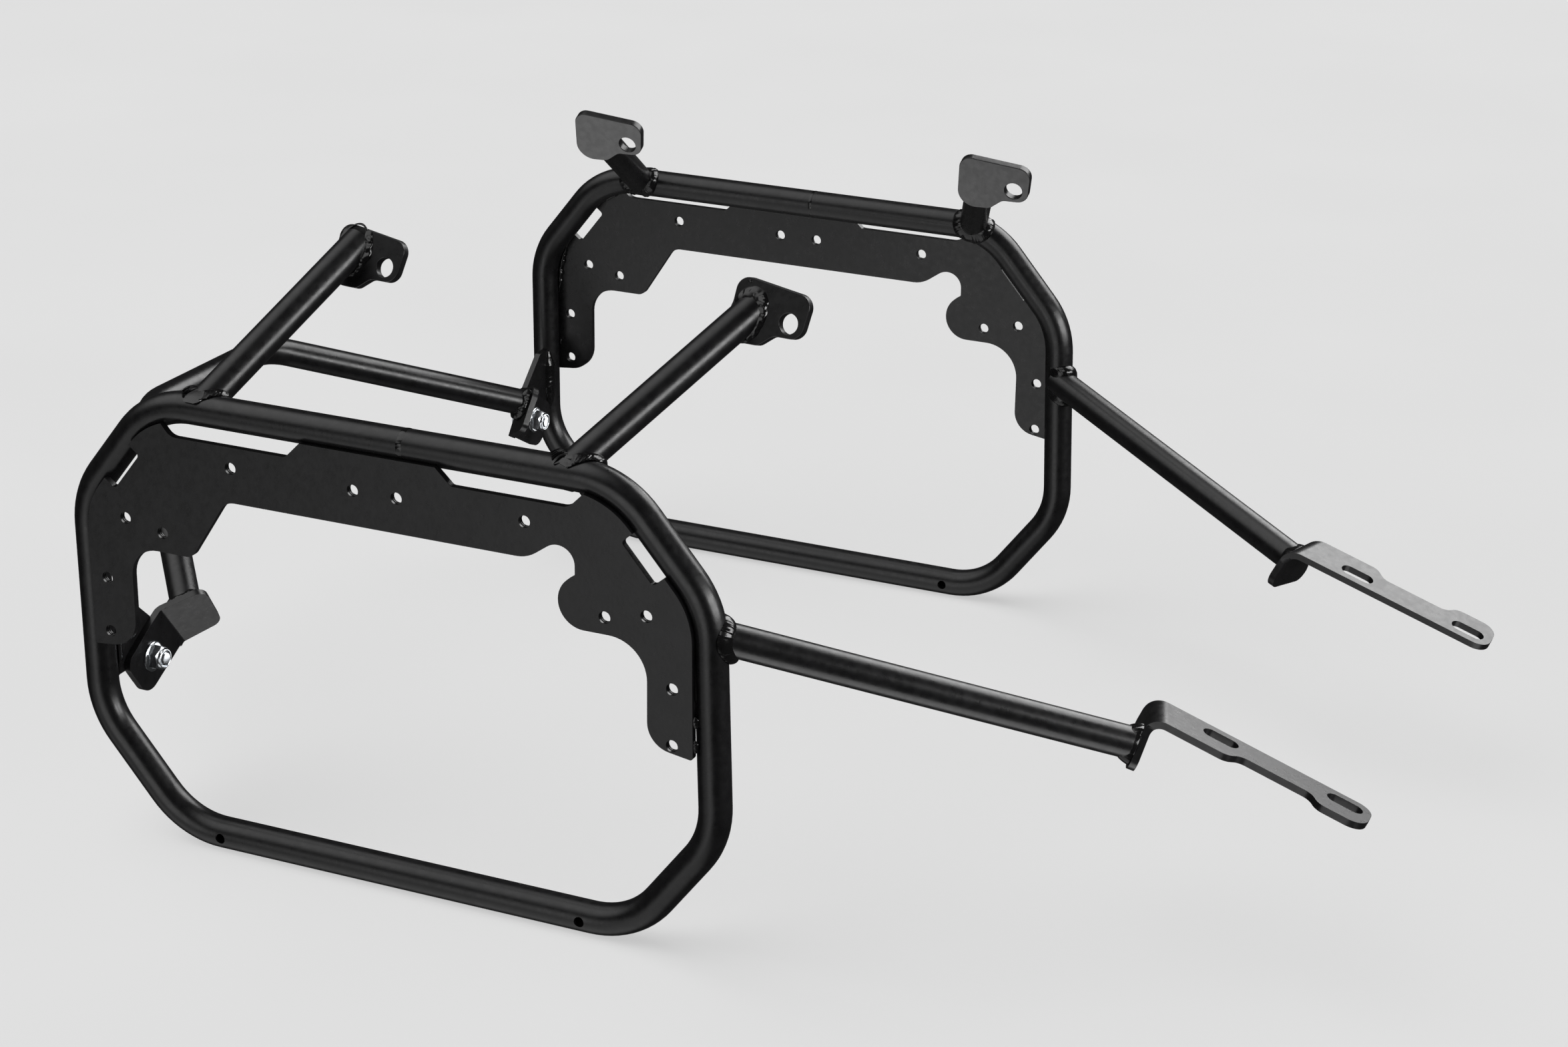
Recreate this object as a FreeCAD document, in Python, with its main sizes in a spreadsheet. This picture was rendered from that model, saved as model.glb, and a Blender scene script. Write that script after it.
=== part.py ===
import FreeCAD, Part
import Sketcher
import math
import os
from FreeCAD import Placement, Rotation, Vector

# Motorbike pannier frame: two bent-tube hoops, each with a laser-cut mounting plate, two upper stays
# with bolt lugs and one forward stay with a slotted bracket, joined behind by a bolted cross tube.
# Row frame: +X is the front of the motorbike, +Y its left side, +Z up. The hoops stand on z = 0.
# Heights and fore-aft places below are measured from the plate datum, the middle of the plate's top
# row of holes. Every piece is modelled on the left, and the right side's pieces are mirror images in
# y = 0, of the left side's own pieces or of masters that have a place of their own.

DIMENSIONS = {
    "tube_diameter": 18.0,
    "tube_wall": 2.0,
    "bend_radius": 50.0,
    "hoop_spacing": 535.2,
    "datum_forward": -106.2,
    "datum_height": 235.5,
    "crown_front": 139.0,
    "crown_rear": -143.1,
    "crown_height": 26.7,
    "shoulder_front": 190.7,
    "shoulder_rear": -190.6,
    "shoulder_height": -33.5,
    "knee_front": 195.2,
    "knee_rear": -189.7,
    "knee_height": -163.0,
    "foot_front": 146.9,
    "foot_rear": -136.3,
    "drain_diameter": 6.0,
    "drain_front": 118.0,
    "drain_rear": -110.0,
    "plate_thickness": 4.0,
    "plate_standoff": 6.5,
    "plate_inset": 5.5,
    "plate_hole_diameter": 6.8,
    "window_depth": 9.1,
    "notch_depth": 8.3,
    "notch_start": 25.6,
    "notch_end": 53.3,
    "lug_thickness": 5.0,
    "lug_hole_diameter": 11.0,
    "front_lug_lean": 17.0,
    "rear_lug_lean": 22.0,
    "lug_yaw": 5.0,
    "bracket_thickness": 4.0,
    "bracket_bend_radius": 6.5,
    "bracket_pitch": 18.9,
    "bracket_roll": 5.5,
    "bracket_skew": 16.5,
    "bracket_drop": 34.8,
    "bracket_slot_width": 9.4,
    "bracket_slot_length": 20.5,
    "gusset_thickness": 4.0,
    "end_plate_thickness": 4.0,
    "end_plate_fold": 45.0,
    "end_plate_bend_radius": 3.0,
    "strip_width": 160.0,
    "cross_bend_radius": 40.0,
    "bolt_hole_diameter": 8.5,
    "bolt_diameter": 7.9,
    "bolt_length": 19.0,
    "bolt_head_height": 5.3,
    "nut_bore_diameter": 8.0,
    "hex_across_flats": 13.0,
    "flange_diameter": 17.9,
    "nut_flange_height": 1.6,
    "nut_hex_height": 5.2,
    "nut_collar_height": 2.0,
    "washer_diameter": 16.0,
    "washer_thickness": 1.6,
}

document = FreeCAD.newDocument("pannier_frame")
sheet = document.addObject("Spreadsheet::Sheet", "dims")
for row, (name, size) in enumerate(DIMENSIONS.items(), start=1):
    sheet.set(f"A{row}", name)
    sheet.set(f"B{row}", str(size))
    sheet.setAlias(f"B{row}", name)
document.recompute()


def dim(name):
    return float(getattr(sheet, name))


def bind(item, field, formula):
    """Ties one size of an object to the sheet; the formula names cells as dims.name."""
    item.setExpression(field, formula)


def add(kind, name):
    return document.addObject(kind, name)


X_AXIS = Vector(1, 0, 0)
Y_AXIS = Vector(0, 1, 0)
Z_AXIS = Vector(0, 0, 1)
TUBE_RADIUS = dim("tube_diameter") / 2
TUBE_BORE = "dims.tube_diameter - 2 * dims.tube_wall"
HALF_SPACING = dim("hoop_spacing") / 2
# Local X forward, local Y up, local Z inboard on the left side
UPRIGHT = Rotation(X_AXIS, 90)
# Local X outboard, local Y up, local Z forward
FACING_FORWARD = Rotation(Vector(1, 1, 1), 120)


def at(forward, outboard, up):
    """A point of the left side in the row frame, from its place relative to the plate datum."""
    return Vector(forward + dim("datum_forward"), outboard, up + dim("datum_height"))


def new_body(name, place):
    body = add("PartDesign::Body", name)
    body.Placement = place
    return body


def new_sketch(body, name, role="XY_Plane", offset=None):
    sketch = body.newObject("Sketcher::SketchObject", name)
    plane = next(f for f in body.Origin.OriginFeatures if f.Role == role)
    sketch.AttachmentSupport = [(plane, "")]
    sketch.MapMode = "FlatFace"
    if offset:
        sketch.AttachmentOffset = offset
    return sketch


def pin_point(sketch, geometry, end, point):
    """Holds one sketch point at its coordinates, on an axis where a coordinate is zero."""
    for kind, amount, axis in (("DistanceX", point.x, -2), ("DistanceY", point.y, -1)):
        if abs(amount) < 1e-7:
            sketch.addConstraint(Sketcher.Constraint("PointOnObject", geometry, end, axis))
        else:
            sketch.addConstraint(Sketcher.Constraint(kind, -1, 1, geometry, end, amount))


def draw_arc(sketch, before, corner, after, radius):
    """Adds the arc that rounds a corner, and says whether it turns left."""
    into = (corner - before).normalize()
    out = (after - corner).normalize()
    half = into.getAngle(out) / 2
    centre = corner + (out - into).normalize() * (radius / math.cos(half))
    start = corner - into * radius * math.tan(half)
    end = corner + out * radius * math.tan(half)
    left = into.cross(out).z > 0
    first, last = (start, end) if left else (end, start)
    angles = [math.atan2(p.y - centre.y, p.x - centre.x) for p in (first, last)]
    circle = Part.Circle(centre, Z_AXIS, radius)
    return sketch.addGeometry(Part.ArcOfCircle(circle, *angles), False), left


def draw_outline(sketch, corners, closed=True, radius_cell=None):
    """Draws straight edges through the corners (x, y, radius), each corner rounded by its radius."""
    points = [Vector(corner[0], corner[1], 0) for corner in corners]
    radii = [corner[2] if len(corner) > 2 else 0 for corner in corners]
    count = len(points)
    edges = []
    for i in range(count if closed else count - 1):
        ends = []
        for here, there in ((i, (i + 1) % count), ((i + 1) % count, i)):
            along = (points[there] - points[here]).normalize()
            is_end = not closed and here in (0, count - 1)
            before = points[here] - points[here - 1]
            after = points[(here + 1) % count] - points[here]
            reach = 0 if is_end else radii[here] * math.tan(before.getAngle(after) / 2)
            ends.append(points[here] + along * reach)
        edges.append(sketch.addGeometry(Part.LineSegment(*ends), False))
    for i in range(count):
        if not closed and i in (0, count - 1):
            edge, end = (edges[0], 1) if i == 0 else (edges[-1], 2)
            pin_point(sketch, edge, end, points[i])
            continue
        into, out = edges[i - 1], edges[i]
        if not radii[i]:
            sketch.addConstraint(Sketcher.Constraint("Coincident", into, 2, out, 1))
            pin_point(sketch, out, 1, points[i])
            continue
        arc, left = draw_arc(sketch, points[i - 1], points[i], points[(i + 1) % count], radii[i])
        sketch.addConstraint(Sketcher.Constraint("Tangent", into, 2, arc, 1 if left else 2))
        sketch.addConstraint(Sketcher.Constraint("Tangent", arc, 2 if left else 1, out, 1))
        held = sketch.addConstraint(Sketcher.Constraint("Radius", arc, radii[i]))
        if radius_cell:
            bind(sketch, f"Constraints[{held}]", radius_cell)
        corner = sketch.addGeometry(Part.Point(points[i]), True)
        sketch.addConstraint(Sketcher.Constraint("PointOnObject", corner, 1, into))
        sketch.addConstraint(Sketcher.Constraint("PointOnObject", corner, 1, out))
        pin_point(sketch, corner, 1, points[i])


def draw_circle(sketch, x, y, diameter_formula):
    """Adds a circle whose diameter follows the sheet."""
    diameter = float(sheet.evalExpression(diameter_formula.replace("dims.", "")))
    circle = sketch.addGeometry(Part.Circle(Vector(x, y, 0), Z_AXIS, diameter / 2), False)
    pin_point(sketch, circle, 3, Vector(x, y, 0))
    held = sketch.addConstraint(Sketcher.Constraint("Diameter", circle, diameter))
    bind(sketch, f"Constraints[{held}]", diameter_formula)


def pad(body, sketch, formula, backwards=False, both_ways=False):
    feature = body.newObject("PartDesign::Pad", sketch.Name + "_pad")
    feature.Profile = sketch
    feature.Reversed = backwards
    feature.Midplane = both_ways
    bind(feature, "Length", formula)
    document.recompute()
    return feature


def pocket_through(body, sketch):
    feature = body.newObject("PartDesign::Pocket", sketch.Name + "_pocket")
    feature.Profile = sketch
    feature.Type = "ThroughAll"
    feature.Midplane = True
    document.recompute()
    return feature


def cut(name, base, tool):
    result = add("Part::Cut", name)
    result.Base = base
    result.Tool = tool
    document.recompute()
    return result


def keep_clear(name, place, reach=60.0):
    """A block that fills the far side of a face: local +Z from the placement's XY plane."""
    block = add("Part::Box", name)
    for side in ("Length", "Width", "Height"):
        setattr(block, side, 2 * reach)
    block.Placement = place.multiply(Placement(Vector(-reach, -reach, 0), Rotation()))
    return block


# The hoop

FOOT_HEIGHT = TUBE_RADIUS - dim("datum_height")
HOOP_CORNERS = [
    (dim("crown_front"), dim("crown_height")),
    (dim("shoulder_front"), dim("shoulder_height")),
    (dim("knee_front"), dim("knee_height")),
    (dim("foot_front"), FOOT_HEIGHT),
    (dim("foot_rear"), FOOT_HEIGHT),
    (dim("knee_rear"), dim("knee_height")),
    (dim("shoulder_rear"), dim("shoulder_height")),
    (dim("crown_rear"), dim("crown_height")),
]


def upright_place(outboard):
    return Placement(at(0, outboard, 0), UPRIGHT)


def hoop_path(body):
    path = new_sketch(body, body.Name + "_path")
    corners = [(x, y, dim("bend_radius")) for x, y in HOOP_CORNERS]
    draw_outline(path, corners, radius_cell="dims.bend_radius")
    return path


def sweep_circle(body, path, kind, name, diameter_formula):
    """Sweeps a circle that stands on the top tube round the path, as solid or as bore."""
    ring = new_sketch(body, name + "_section", "YZ_Plane")
    draw_circle(ring, dim("crown_height"), 0, diameter_formula)
    pipe = body.newObject("PartDesign::" + kind, name)
    pipe.Profile = ring
    pipe.Spine = (path, [])
    document.recompute()
    return pipe


def make_hoop_envelope():
    """The hoop's outer form, which trims everything that is welded to the tube."""
    body = new_body("hoop_envelope", upright_place(HALF_SPACING))
    sweep_circle(body, hoop_path(body), "AdditivePipe", "envelope_tube", "dims.tube_diameter")
    return body


def make_hoop():
    body = new_body("hoop", upright_place(HALF_SPACING))
    path = hoop_path(body)
    sweep_circle(body, path, "AdditivePipe", "hoop_tube", "dims.tube_diameter")
    sweep_circle(body, path, "SubtractivePipe", "hoop_bore", TUBE_BORE)
    drains = new_sketch(body, "hoop_drains")
    for forward in (dim("drain_front"), dim("drain_rear")):
        draw_circle(drains, forward, FOOT_HEIGHT, "dims.drain_diameter")
    pocket_through(body, drains)
    return body


# The mounting plate

PLATE_HOLES = [
    (13.3, 0.0),
    (89.4, 0.0),
    (135.5, -45.0),
    (159.5, -40.1),
    (174.2, -78.0),
    (174.2, -110.0),
]
PLATE_TOP = dim("crown_height") - dim("plate_inset")
WINDOW_FLOOR = PLATE_TOP - dim("window_depth")
PLATE_LOWER_EDGE = -19.8
WINDOW_OVERRUN = 14.0


def inset_corner(index, inset):
    """The hoop path's corner moved in by the inset, where its two offset edges cross."""
    before, corner, after = [Vector(*HOOP_CORNERS[(index + k) % 8], 0) for k in (-1, 0, 1)]
    into = (corner - before).normalize()
    out = (after - corner).normalize()
    half = into.getAngle(out) / 2
    return corner + (out - into).normalize() * (inset / math.cos(half))


def plate_outline():
    inset = dim("plate_inset")
    bend = dim("bend_radius") - inset
    crown_front, shoulder_front = [inset_corner(i, inset) for i in (0, 1)]
    shoulder_rear, crown_rear = [inset_corner(i, inset) for i in (6, 7)]
    return [
        (crown_front.x, crown_front.y, bend),
        (shoulder_front.x, shoulder_front.y, bend),
        (186.2, -116.2, 1.5),
        (159.9, -112.0, 15),
        (159.9, -54.5, 22),
        (71.9, -54.5, 15),
        (118.5, -24.9, 2),
        (118.5, -0.3, 10),
        (90.7, PLATE_LOWER_EDGE, 20),
        (-93.5, PLATE_LOWER_EDGE, 10),
        (-117.2, -56.3, 7),
        (-157.2, -56.3, 17.5),
        (-157.2, -116.5, 17),
        (shoulder_rear.x + 0.2, -119.3, 1.5),
        (shoulder_rear.x, shoulder_rear.y, bend),
        (crown_rear.x, crown_rear.y, bend),
    ]


def window_outlines():
    """Two long windows under the top tube; their upper sides run out over the plate's edge."""
    over = PLATE_TOP + WINDOW_OVERRUN
    rear = [(-146.7, over), (-127.0, WINDOW_FLOOR, 8), (-54.5, WINDOW_FLOOR, 3), (-31.5, over)]
    front = [(22.5, over), (46.5, WINDOW_FLOOR, 3), (115.0, WINDOW_FLOOR, 8), (138.0, over)]
    return [rear, front]


def notch_outline(crown_index, shoulder_index):
    """A slot in the slanted edge, given by its distances from the hoop's crown corner."""
    crown = Vector(*HOOP_CORNERS[crown_index], 0)
    shoulder = Vector(*HOOP_CORNERS[shoulder_index], 0)
    along = (shoulder - crown).normalize()
    inward = Vector(along.y, -along.x, 0) * (1 if along.x > 0 else -1)
    floor = dim("plate_inset") + dim("notch_depth")
    start = crown + along * dim("notch_start")
    end = crown + along * dim("notch_end")
    corners = [(start, 0, 0), (start, floor, 2), (end, floor, 2), (end, 0, 0)]
    return [((p + inward * d).x, (p + inward * d).y, r) for p, d, r in corners]


def make_mounting_plate(envelope):
    outer_face = HALF_SPACING + dim("plate_standoff") + dim("plate_thickness")
    body = new_body("plate_blank", upright_place(outer_face))
    outline = new_sketch(body, "plate_outline")
    draw_outline(outline, plate_outline())
    pad(body, outline, "dims.plate_thickness")
    openings = new_sketch(body, "plate_openings")
    for window in window_outlines():
        draw_outline(openings, window)
    draw_outline(openings, notch_outline(0, 1))
    draw_outline(openings, notch_outline(7, 6))
    pocket_through(body, openings)
    holes = new_sketch(body, "plate_holes")
    for forward, up in PLATE_HOLES:
        for side in (1, -1):
            draw_circle(holes, side * forward, up, "dims.plate_hole_diameter")
    pocket_through(body, holes)
    return cut("mounting_plate", body, envelope)


# Stays and their lugs

LUG_OUTLINE = [
    (-33.0, 21.7, 7.5),
    (12.0, 15.3, 7.5),
    (8.4, -7.9, 7.5),
    (-7.5, -7.9, 6),
    (-16.0, -14.3, 6),
    (-36.8, -14.3, 11),
]


def lug_place(end, hole):
    """Local X forward and local Y up in the lug's plane; the outboard face is local z = 0."""
    lean = Rotation(X_AXIS, 90 + dim(end + "_lug_lean"))
    return Placement(at(*hole), Rotation(Z_AXIS, dim("lug_yaw")).multiply(lean))


def make_lug(name, place):
    body = new_body(name, place)
    outline = new_sketch(body, name + "_outline")
    draw_outline(outline, LUG_OUTLINE)
    draw_circle(outline, 0, 0, "dims.lug_hole_diameter")
    pad(body, outline, "dims.lug_thickness")
    return body


def make_tube(name, start, end):
    """A straight tube along local Z, from one point to past another."""
    along = end - start
    body = new_body(name, Placement(start, Rotation(Z_AXIS, along)))
    section = new_sketch(body, name + "_section")
    draw_circle(section, 0, 0, "dims.tube_diameter")
    draw_circle(section, 0, 0, TUBE_BORE)
    feature = body.newObject("PartDesign::Pad", name + "_pad")
    feature.Profile = section
    feature.Length = along.Length + dim("tube_diameter")
    document.recompute()
    return body


def make_stay(name, root, tip, envelope, face):
    """A tube coped to the hoop at its root and cut flush with a plate's face at its tip."""
    blank = make_tube(name + "_blank", at(*root), at(*tip))
    coped = cut(name + "_coped", blank, envelope)
    beyond = keep_clear(name + "_trim", face)
    return cut(name, coped, beyond)


# The forward bracket

STRAP_INNER = -9.7
STRAP_WAIST = 9.0
STRAP_OUTER = 16.6
STRAP_TIP = 98.0
STRIP_ROOT = -60.0
STRIP_TIP = 140.0
STRIP_EXCESS = 2.0
SLOT_CENTRES = (10.5, 83.0)
FLANGE_FRONT = -26.3
FLANGE_TOP = -6.0
# In the flange's own plane: along the bend from the strap's local X axis, and up
FLANGE_OUTLINE = [
    (-10.1, FLANGE_TOP),
    (-19.0, -27.0, 8),
    (28.4, -dim("bracket_drop"), 7.5),
    (17.3, FLANGE_TOP),
]


def bracket_place(side):
    """Local X along the strap, local Y outboard across it; its top face is local z = 0."""
    turn = Rotation(Y_AXIS, dim("bracket_pitch")).multiply(Rotation(X_AXIS, dim("bracket_roll")))
    return Placement(at(*BRACKET_ORIGINS[side]), turn)


def flange_turn():
    """Turns an upright plane so that its local X is square to the skewed bend line."""
    return Placement(Vector(), Rotation(Y_AXIS, -dim("bracket_skew")))


def flange_offset(depth):
    """From the bracket's YZ plane to one along the flange, that many mm behind its front face."""
    skew = math.radians(dim("bracket_skew"))
    forward = FLANGE_FRONT / math.cos(skew) - depth * math.cos(skew)
    return Placement(Vector(depth * math.sin(skew), 0, forward), flange_turn().Rotation)


def flange_face(side):
    """The flange's rear face, to which the stay is welded: local +Z points forward into it."""
    rear = FLANGE_FRONT - dim("bracket_thickness")
    skew = Rotation(Z_AXIS, -dim("bracket_skew"))
    local = Placement(skew.multVec(Vector(rear, 0, 0)), skew.multiply(Rotation(Y_AXIS, 90)))
    return bracket_place(side).multiply(local)


def strap_outline():
    return [
        (STRIP_ROOT, STRAP_INNER),
        (STRAP_TIP, STRAP_INNER, 9.4),
        (STRAP_TIP, STRAP_OUTER, 10),
        (71.5, STRAP_OUTER, 8),
        (66.0, STRAP_WAIST, 8),
        (25.0, STRAP_WAIST, 8),
        (19.0, STRAP_OUTER, 8),
        (STRIP_ROOT, STRAP_OUTER),
    ]


def draw_slot(sketch, centre, width, length):
    """A slot along X as one closed outline with round ends."""
    half = (length - width) / 2
    top = sketch.addGeometry(Part.LineSegment(
        Vector(centre - half, width / 2, 0), Vector(centre + half, width / 2, 0)), False)
    bottom = sketch.addGeometry(Part.LineSegment(
        Vector(centre + half, -width / 2, 0), Vector(centre - half, -width / 2, 0)), False)
    arcs = []
    for end, start_angle in ((centre + half, -math.pi / 2), (centre - half, math.pi / 2)):
        circle = Part.Circle(Vector(end, 0, 0), Z_AXIS, width / 2)
        arcs.append(sketch.addGeometry(Part.ArcOfCircle(circle, start_angle, start_angle + math.pi), False))
    right, left = arcs
    sketch.addConstraint(Sketcher.Constraint("Tangent", bottom, 1, right, 1))
    sketch.addConstraint(Sketcher.Constraint("Tangent", right, 2, top, 2))
    sketch.addConstraint(Sketcher.Constraint("Tangent", top, 1, left, 1))
    sketch.addConstraint(Sketcher.Constraint("Tangent", left, 2, bottom, 2))
    pin_point(sketch, right, 3, Vector(centre + half, 0, 0))
    pin_point(sketch, left, 3, Vector(centre - half, 0, 0))
    held = sketch.addConstraint(Sketcher.Constraint("Radius", right, width / 2))
    bind(sketch, f"Constraints[{held}]", "dims.bracket_slot_width / 2")


def make_forward_bracket(name, side):
    place = bracket_place(side)
    thickness = dim("bracket_thickness")
    inside = dim("bracket_bend_radius")
    rear = FLANGE_FRONT - thickness
    foot = -dim("bracket_drop") - STRIP_EXCESS
    strip = new_body(name + "_strip", place)
    profile = new_sketch(strip, name + "_profile", "XZ_Plane", flange_turn())
    draw_outline(profile, [
        (rear, 0, inside + thickness),
        (rear, foot),
        (FLANGE_FRONT, foot),
        (FLANGE_FRONT, -thickness, inside),
        (STRIP_TIP, -thickness),
        (STRIP_TIP, 0),
    ])
    pad(strip, profile, "dims.strip_width", both_ways=True)
    outline_body = new_body(name + "_outlines", place)
    below = Placement(Vector(0, 0, -2 * thickness), Rotation())
    strap = new_sketch(outline_body, name + "_strap", offset=below)
    draw_outline(strap, strap_outline())
    pad(outline_body, strap, "3 * dims.bracket_thickness")
    behind = flange_offset(2 * thickness)
    flange = new_sketch(outline_body, name + "_flange", "YZ_Plane", behind)
    draw_outline(flange, FLANGE_OUTLINE)
    pad(outline_body, flange, "3 * dims.bracket_thickness")
    shaped = add("Part::Common", name + "_shaped")
    shaped.Base = strip
    shaped.Tool = outline_body
    slots_body = new_body(name + "_slots", place)
    slots = new_sketch(slots_body, name + "_slot_outlines")
    for centre in SLOT_CENTRES:
        draw_slot(slots, centre, dim("bracket_slot_width"), dim("bracket_slot_length"))
    pad(slots_body, slots, "4 * dims.bracket_thickness", both_ways=True)
    return cut(name, shaped, slots_body)


# The rear joint: a gusset on the hoop and a folded end plate on the cross tube

BOLT_OUTBOARD = 231.5
BOLT_HEIGHT = -145.0
JOINT_FACE = -180.8
GUSSET_OUTLINE = [
    (33.0, 43.4),
    (17.0, 43.0, 3),
    (-6.0, 21.5, 5),
    (-8.0, -12.5, 6),
    (5.5, -20.0, 9),
    (18.5, -1.5, 1),
    (33.0, -1.5),
]
LOWER_LOBE = [
    (-12.5, 26.5),
    (2.0, 18.6, 10),
    (25.5, 3.6, 7.5),
    (6.7, -22.8, 10.8),
    (-33.0, -0.5),
]
FOLD_TOP = Vector(-10.2, 24.0, 0)
FOLD_FOOT = Vector(-30.6, -2.3, 0)
UPPER_LOBE = [
    (-3.0, -1.0),
    (27.8, 1.6, 8),
    (25.3, 34.1, 6),
    (-3.0, 33.9),
]


def joint_place(depth=0.0):
    """The bolt's axis at the front face of the end plate, or that many mm behind it."""
    return Placement(at(JOINT_FACE - depth, BOLT_OUTBOARD, BOLT_HEIGHT), FACING_FORWARD)


def fold_frame():
    """Local X along the upper lobe, local Y down the fold line; its front face is z = 0."""
    down = (FOLD_FOOT - FOLD_TOP).normalize()
    inward = Vector(down.y, -down.x, 0)
    fold = math.radians(dim("end_plate_fold"))
    along = inward * math.cos(fold) + Z_AXIS * math.sin(fold)
    return Placement(FOLD_TOP, Rotation(along, down, along.cross(down), "XYZ"))


def make_gusset(envelope):
    body = new_body("gusset_blank", joint_place(dim("end_plate_thickness") + dim("gusset_thickness")))
    outline = new_sketch(body, "gusset_outline")
    draw_outline(outline, GUSSET_OUTLINE)
    draw_circle(outline, 0, 0, "dims.bolt_hole_diameter")
    pad(body, outline, "dims.gusset_thickness")
    return cut("rear_gusset", body, envelope)


def make_end_plate():
    thickness = dim("end_plate_thickness")
    fold = math.radians(dim("end_plate_fold"))
    down = (FOLD_FOOT - FOLD_TOP).normalize()
    inward = Vector(down.y, -down.x, 0)
    strip = new_body("end_plate_strip", joint_place())
    turn = math.degrees(math.atan2(inward.y, inward.x))
    offset = Placement(Vector(FOLD_TOP.x, 0, -FOLD_TOP.y), Rotation(Y_AXIS, turn))
    profile = new_sketch(strip, "end_plate_profile", "XZ_Plane", offset)
    inside = dim("end_plate_bend_radius")
    reach = -STRIP_ROOT
    back = thickness * math.tan(fold / 2)
    normal = (thickness * math.sin(fold), -thickness * math.cos(fold))
    tip = (reach * math.cos(fold), reach * math.sin(fold))
    draw_outline(profile, [
        (STRIP_ROOT, 0),
        (0, 0, inside),
        tip,
        (tip[0] + normal[0], tip[1] + normal[1]),
        (back, -thickness, inside + thickness),
        (STRIP_ROOT, -thickness),
    ])
    pad(strip, profile, "dims.strip_width", both_ways=True)
    below = Placement(Vector(0, 0, -1.5 * thickness), Rotation())
    lower_body = new_body("lower_lobe", joint_place())
    lower = new_sketch(lower_body, "lower_lobe_outline", offset=below)
    draw_outline(lower, LOWER_LOBE)
    pad(lower_body, lower, "2 * dims.end_plate_thickness")
    upper_body = new_body("upper_lobe", joint_place().multiply(fold_frame()))
    upper = new_sketch(upper_body, "upper_lobe_outline", offset=below)
    draw_outline(upper, UPPER_LOBE)
    pad(upper_body, upper, "2 * dims.end_plate_thickness")
    outlines = add("Part::Fuse", "end_plate_outlines")
    outlines.Base = lower_body
    outlines.Tool = upper_body
    shaped = add("Part::Common", "end_plate_shaped")
    shaped.Base = strip
    shaped.Tool = outlines
    drill_body = new_body("end_plate_drill", joint_place())
    drill = new_sketch(drill_body, "end_plate_hole")
    draw_circle(drill, 0, 0, "dims.bolt_hole_diameter")
    pad(drill_body, drill, "4 * dims.end_plate_thickness", both_ways=True)
    return cut("end_plate", shaped, drill_body)


CROSS_FOOT = (-180.0, 198.5, -120.3)
CROSS_BEND = (-292.5, 67.2, -60.8)
CROSS_OVERRUN = 30.0


def make_cross_tube():
    """A U of tube in a plane that rises to the rear, cut flush with both end plates."""
    rise = math.atan2(CROSS_BEND[2] - CROSS_FOOT[2], CROSS_FOOT[0] - CROSS_BEND[0])
    middle = at(CROSS_BEND[0], 0, CROSS_BEND[2])
    body = new_body("cross_blank", Placement(middle, Rotation(Y_AXIS, math.degrees(rise))))
    foot = Vector(CROSS_FOOT[0] - CROSS_BEND[0], 0, CROSS_FOOT[2] - CROSS_BEND[2]).Length
    leg = Vector(foot, CROSS_FOOT[1] - CROSS_BEND[1], 0)
    start = Vector(0, CROSS_BEND[1], 0) + leg * (1 + CROSS_OVERRUN / leg.Length)
    bend = dim("cross_bend_radius")
    path = new_sketch(body, "cross_path")
    draw_outline(path, [
        (start.x, -start.y),
        (0, -CROSS_BEND[1], bend),
        (0, CROSS_BEND[1], bend),
        (start.x, start.y),
    ], closed=False, radius_cell="dims.cross_bend_radius")
    for kind, name, formula in (
            ("AdditivePipe", "cross_outside", "dims.tube_diameter"),
            ("SubtractivePipe", "cross_bore", TUBE_BORE)):
        section = new_sketch(body, name + "_section", "XZ_Plane")
        draw_circle(section, 0, 0, formula)
        pipe = body.newObject("PartDesign::" + kind, name)
        pipe.Profile = section
        pipe.Spine = (path, [])
        document.recompute()
    rear_face = joint_place().multiply(fold_frame()).multiply(
        Placement(Vector(0, 0, -dim("end_plate_thickness")), Rotation()))
    left_block = keep_clear("cross_trim_left", rear_face)
    right_block = mirror("cross_trim_right", left_block)
    return cut("cross_tube", cut("cross_half", body, left_block), right_block)


def hexagon(across_flats):
    radius = across_flats / math.sqrt(3)
    turns = [math.radians(60 * k + 30) for k in range(6)]
    return [(radius * math.cos(a), radius * math.sin(a)) for a in turns]


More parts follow.
